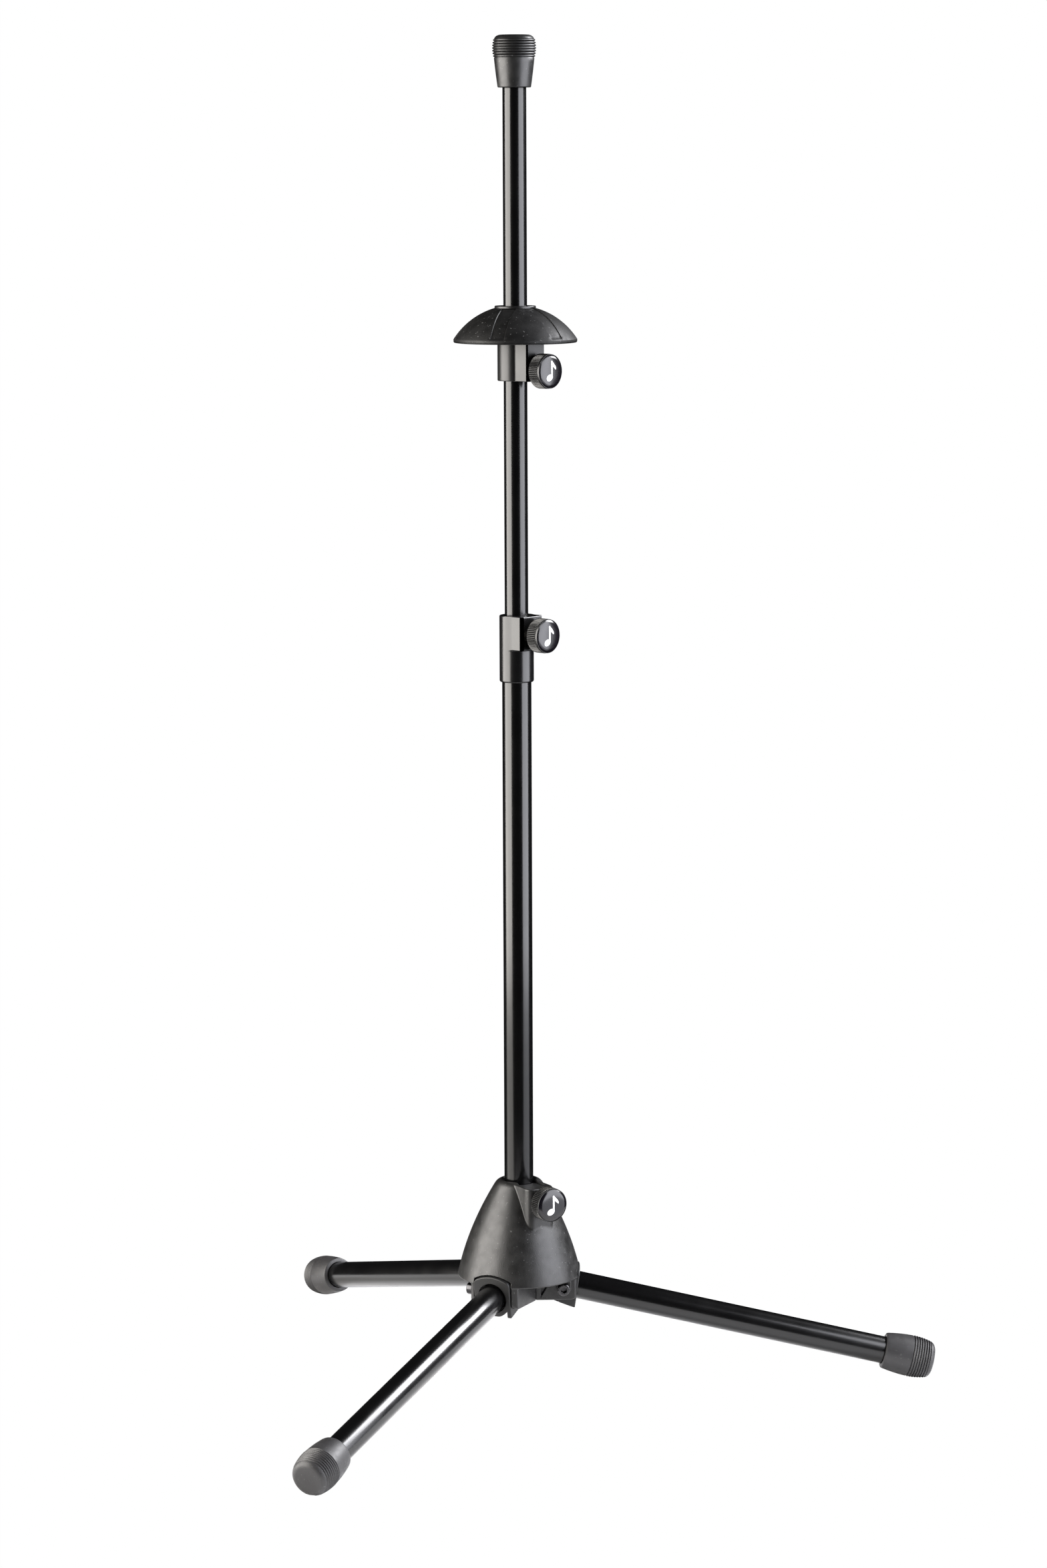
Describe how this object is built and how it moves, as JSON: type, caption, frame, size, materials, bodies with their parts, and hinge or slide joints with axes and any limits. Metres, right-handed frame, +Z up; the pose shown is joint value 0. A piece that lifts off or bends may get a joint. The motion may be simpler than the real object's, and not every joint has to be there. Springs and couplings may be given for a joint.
{
  "type": "trombone stand",
  "caption": "Folding floor stand with a telescoping rod, rubber top cap, ribbed bell dome, clamp screws and fold-down legs on a conical hub.",
  "frame": {"origin": "on the floor, below the middle of the bounding box of the open stand; the rod's axis is 68.56 mm towards -X from it", "axes": "+Z up along the rod, +X along leg a"},
  "size_m": [0.4458, 0.5116, 0.9282],
  "materials": {
    "gloss_paint": "gloss black powder coat",
    "satin_paint": "satin black",
    "hub_plastic": "fine moulded grain, charcoal",
    "joint_plastic": "moulded, near black",
    "grey_rubber": "matte, dark grey",
    "dome_rubber": "matte, near black, faint specks",
    "knob_plastic": "knurled, satin black",
    "cap_plastic": "gloss black",
    "zinc_steel": "zinc plated",
    "black_steel": "blackened, smooth",
    "brass": "turned",
    "nylon": "natural nylon"
  },
  "bodies": {
    "hub": {"hub_shell": "hub_plastic", "hub_insert": "brass", "leg_a_pivot_screw": "black_steel", "leg_a_pivot_nut": "black_steel", "leg_b_pivot_screw": "black_steel", "leg_b_pivot_nut": "black_steel", "leg_c_pivot_screw": "black_steel", "leg_c_pivot_nut": "black_steel"},
    "hub_shoe": {"hub_clamp_shoe": "joint_plastic"},
    "hub_knob": {"hub_knob_stud": "zinc_steel", "hub_knob": "knob_plastic", "hub_knob_cap": "cap_plastic"},
    "mast": {"mast_tube": "gloss_paint", "mast_end_plug": "joint_plastic", "collar": "satin_paint", "collar_bush": "nylon", "collar_insert": "brass"},
    "collar_shoe": {"collar_clamp_shoe": "nylon"},
    "collar_knob": {"collar_knob_stud": "zinc_steel", "collar_knob": "knob_plastic", "collar_knob_cap": "cap_plastic"},
    "upper": {"upper_tube": "gloss_paint", "upper_tube_guide": "joint_plastic", "top_cap": "grey_rubber"},
    "bell_rest": {"bell_sleeve": "satin_paint", "bell_dome": "dome_rubber", "bell_insert": "brass"},
    "bell_shoe": {"bell_clamp_shoe": "nylon"},
    "bell_knob": {"bell_knob_stud": "zinc_steel", "bell_knob": "knob_plastic", "bell_knob_cap": "cap_plastic"},
    "leg_a": {"leg_a_joint_head": "joint_plastic", "leg_a_tube": "gloss_paint", "leg_a_foot": "grey_rubber"},
    "leg_b": {"leg_b_joint_head": "joint_plastic", "leg_b_tube": "gloss_paint", "leg_b_foot": "grey_rubber"},
    "leg_c": {"leg_c_joint_head": "joint_plastic", "leg_c_tube": "gloss_paint", "leg_c_foot": "grey_rubber"}
  },
  "joints": [
    {"name": "leg_a_fold", "type": "hinge", "parent": "hub", "child": "leg_a", "pos_m": [-0.03857, 0, 0.07167], "axis": [0, 1, 0], "range_deg": [0, 76.8]},
    {"name": "leg_b_fold", "type": "hinge", "parent": "hub", "child": "leg_b", "pos_m": [-0.08357, 0.02598, 0.07167], "axis": [-0.866, -0.5, 0], "range_deg": [0, 76.8]},
    {"name": "leg_c_fold", "type": "hinge", "parent": "hub", "child": "leg_c", "pos_m": [-0.08357, -0.02598, 0.07167], "axis": [0.866, -0.5, 0], "range_deg": [0, 76.8]},
    {"name": "mast_slide", "type": "slide", "parent": "hub", "child": "mast", "axis": [0, 0, 1], "range_m": [-0.34, 0]},
    {"name": "upper_slide", "type": "slide", "parent": "mast", "child": "upper", "axis": [0, 0, 1], "range_m": [-0.12, 0.09]},
    {"name": "bell_slide", "type": "slide", "parent": "upper", "child": "bell_rest", "axis": [0, 0, 1], "range_m": [-0.035, 0.14]},
    {"name": "hub_shoe_travel", "type": "slide", "parent": "hub", "child": "hub_shoe", "axis": [0.5, -0.866, 0], "range_m": [0, 0.001]},
    {"name": "hub_knob_turn", "type": "hinge", "parent": "hub_shoe", "child": "hub_knob", "pos_m": [-0.06857, 0, 0.1354], "axis": [0.5, -0.866, 0], "range_deg": [0, 360]},
    {"name": "collar_shoe_travel", "type": "slide", "parent": "mast", "child": "collar_shoe", "axis": [0.7071, -0.7071, 0], "range_m": [0, 0.001]},
    {"name": "collar_knob_turn", "type": "hinge", "parent": "collar_shoe", "child": "collar_knob", "pos_m": [-0.06857, 0, 0.5265], "axis": [0.7071, -0.7071, 0], "range_deg": [0, 360]},
    {"name": "bell_shoe_travel", "type": "slide", "parent": "bell_rest", "child": "bell_shoe", "axis": [0.7071, -0.7071, 0], "range_m": [0, 0.001]},
    {"name": "bell_knob_turn", "type": "hinge", "parent": "bell_shoe", "child": "bell_knob", "pos_m": [-0.06857, 0, 0.7052], "axis": [0.7071, -0.7071, 0], "range_deg": [0, 360]}
  ],
  "couplings": [
    {"joint": "hub_knob_turn", "follows": "hub_shoe_travel", "rad_per_m": 6283.2},
    {"joint": "collar_knob_turn", "follows": "collar_shoe_travel", "rad_per_m": 6283.2},
    {"joint": "bell_knob_turn", "follows": "bell_shoe_travel", "rad_per_m": 6283.2}
  ]
}
